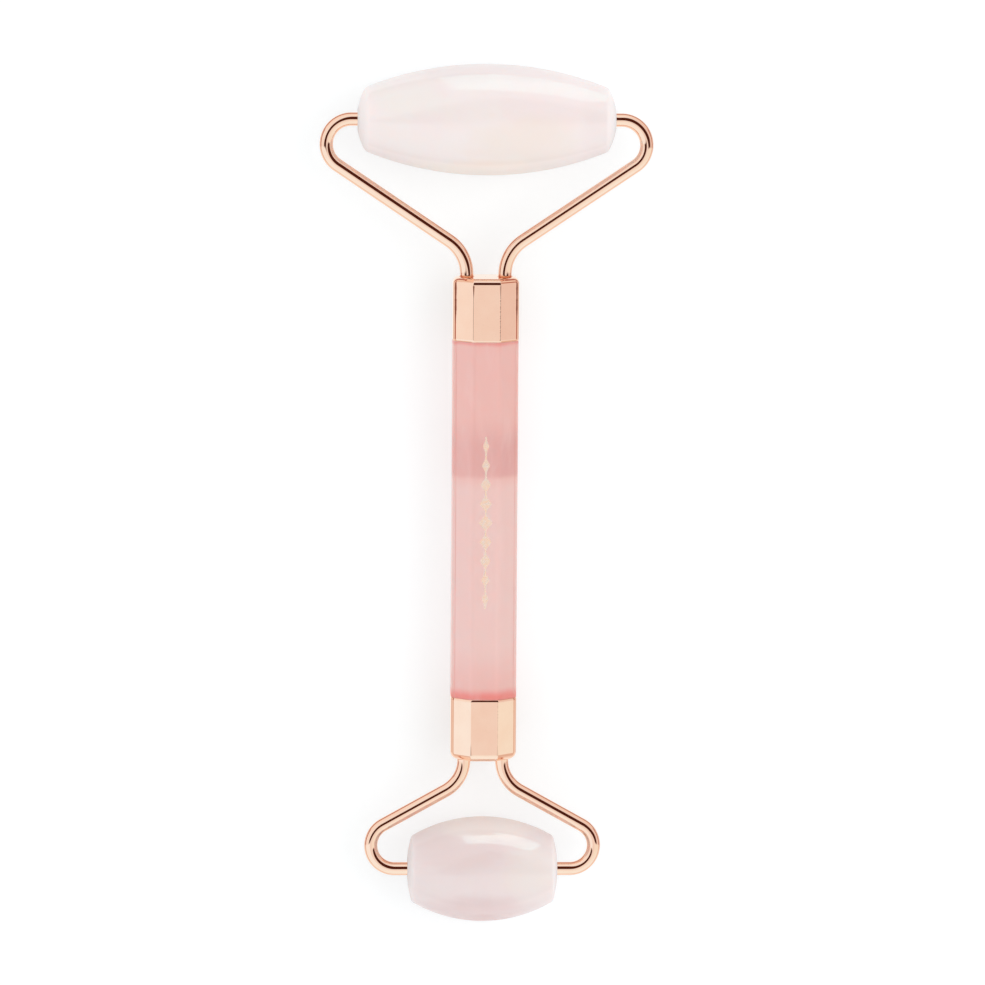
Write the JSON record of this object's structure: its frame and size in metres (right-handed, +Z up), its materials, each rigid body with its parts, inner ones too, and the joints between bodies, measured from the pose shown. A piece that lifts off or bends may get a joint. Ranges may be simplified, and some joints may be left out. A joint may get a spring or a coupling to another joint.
{
  "type": "face roller",
  "caption": "Double-ended face roller: octagonal crystal handle, plated ferrules, bent wire forks and barrel-shaped quartz rollers that spin freely on their stubs.",
  "frame": {"origin": "on the table under the middle of the whole length, with the roller lying on its large stone and its fork plane level", "axes": "+Y runs along the handle from the small stone to the large one, +X is parallel to both roller axles and points right, +Z is up from the table"},
  "size_m": [0.0558, 0.145, 0.0186],
  "materials": {
    "crystal_handle": "polished",
    "rose_quartz": "polished",
    "rose_gold": "polished",
    "braze": "satin",
    "nylon": "satin",
    "adhesive": "gloss",
    "foil": "gloss"
  },
  "bodies": {
    "frame": {"handle": "crystal_handle", "handle_foil": "foil", "large_ferrule": "rose_gold", "large_ferrule_resin": "adhesive", "large_left_arm": "rose_gold", "large_right_arm": "rose_gold", "large_left_braze": "braze", "large_right_braze": "braze", "small_ferrule": "rose_gold", "small_ferrule_resin": "adhesive", "small_left_arm": "rose_gold", "small_right_arm": "rose_gold", "small_left_braze": "braze", "small_right_braze": "braze"},
    "large_roller": {"large_stone": "rose_quartz", "large_left_bush": "nylon", "large_right_bush": "nylon"},
    "small_roller": {"small_stone": "rose_quartz", "small_left_bush": "nylon", "small_right_bush": "nylon"}
  },
  "joints": [
    {"name": "large_roller_spin", "type": "hinge", "parent": "frame", "child": "large_roller", "pos_m": [0, 0.0632, 0.0093], "axis": [1, 0, 0], "continuous": true},
    {"name": "small_roller_spin", "type": "hinge", "parent": "frame", "child": "small_roller", "pos_m": [0, -0.06365, 0.0093], "axis": [1, 0, 0], "continuous": true}
  ]
}
